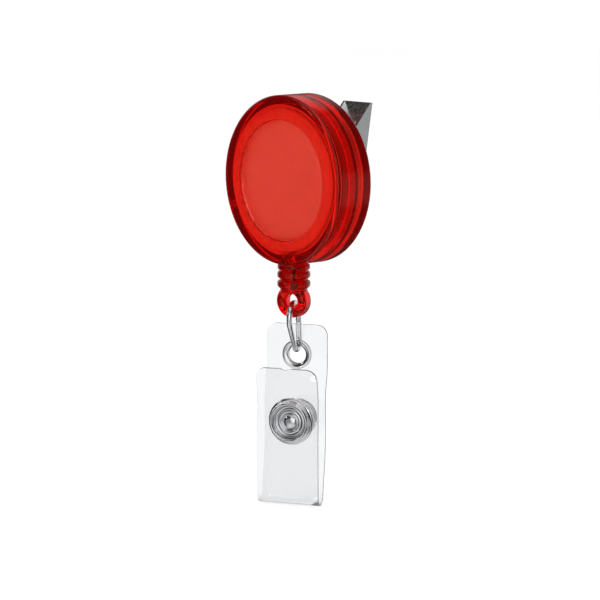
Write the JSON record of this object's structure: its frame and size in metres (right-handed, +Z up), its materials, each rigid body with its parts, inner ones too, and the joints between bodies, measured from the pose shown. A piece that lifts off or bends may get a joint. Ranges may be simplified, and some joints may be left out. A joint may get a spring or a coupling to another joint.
{
  "type": "retractable badge reel",
  "caption": "Retractable badge reel with a swivelling clip on its back, a ribbed stem, a wire link and a clear snap strap.",
  "frame": {"origin": "the bite of the clip's jaws, in the middle of their width", "axes": "+Z up towards the clip's handle, -Z down along the hanging strap, +Y towards the back (the wearer), -Y the reel's front face"},
  "size_m": [0.032, 0.0236, 0.078],
  "materials": {
    "clip_steel": "nickel plated sheet steel",
    "spring_steel": "spring steel",
    "red_plastic": "polished translucent red polystyrene",
    "spool_plastic": "natural white moulded plastic",
    "cord_nylon": "braided black nylon",
    "link_nickel": "bright nickel wire",
    "clear_vinyl": "clear flexible vinyl sheet",
    "snap_nickel": "nickel plated brass"
  },
  "bodies": {
    "clip_base": {"clip_front_jaw": "clip_steel", "clip_pin": "clip_steel", "clip_torsion_spring": "spring_steel", "swivel_rivet": "clip_steel"},
    "clip_lever": {"clip_rear_lever": "clip_steel"},
    "housing": {"front_cover": "red_plastic", "back_cover": "red_plastic", "mainspring": "spring_steel", "cord_run": "cord_nylon"},
    "spool": {"spool": "spool_plastic", "cord_winding": "cord_nylon"},
    "cord_tail": {"cord_knot": "cord_nylon"},
    "stem": {"stem": "red_plastic"},
    "link": {"link_ring": "link_nickel"},
    "strap_back": {"strap_back_leaf": "clear_vinyl", "strap_eyelet": "snap_nickel", "eyelet_washer": "snap_nickel", "snap_back_cap": "snap_nickel", "snap_stud": "snap_nickel"},
    "strap_front": {"strap_front_leaf": "clear_vinyl", "snap_socket": "snap_nickel", "snap_ring_spring": "spring_steel", "snap_front_cap": "snap_nickel"}
  },
  "joints": [
    {"name": "clip_squeeze", "type": "hinge", "parent": "clip_base", "child": "clip_lever", "pos_m": [0, 0.004, 0.0184], "axis": [1, 0, 0], "range_deg": [0, 28], "stiffness_Nm_per_rad": 0.03, "springref_deg": -28.65, "deforming": ["clip_torsion_spring"]},
    {"name": "reel_swivel", "type": "hinge", "parent": "clip_base", "child": "housing", "pos_m": [0, -0.0046, 0.0115], "axis": [0, 1, 0], "continuous": true},
    {"name": "cord_pull", "type": "slide", "parent": "housing", "child": "cord_tail", "axis": [0, 0, -1], "range_m": [0, 0.65], "stiffness_N_per_m": 0.5, "springref_m": -1.2, "deforming": ["cord_run"]},
    {"name": "spool_spin", "type": "hinge", "parent": "housing", "child": "spool", "pos_m": [0, -0.00965, 0.0115], "axis": [0, 1, 0], "range_deg": [0, 3610]},
    {"name": "stem_twist", "type": "hinge", "parent": "cord_tail", "child": "stem", "pos_m": [0, -0.00965, -0.00843], "axis": [0, 0, 1], "continuous": true},
    {"name": "link_swing", "type": "hinge", "parent": "stem", "child": "link", "pos_m": [0, -0.00965, -0.012], "axis": [-0.309, 0.9511, 0], "range_deg": [-30, 30]},
    {"name": "strap_swing", "type": "hinge", "parent": "link", "child": "strap_back", "pos_m": [-0.00088, -0.00796, -0.0212], "axis": [-0.4617, 0.887, 0], "range_deg": [-20, 20]},
    {"name": "strap_open", "type": "hinge", "parent": "strap_back", "child": "strap_front", "pos_m": [0.0009, -0.01138, -0.05045], "axis": [0.887, 0.4617, 0], "range_deg": [0, 70], "stiffness_Nm_per_rad": 0.002, "springref_deg": -11.46}
  ],
  "couplings": [
    {"joint": "spool_spin", "follows": "cord_pull", "rad_per_m": 96.6}
  ]
}
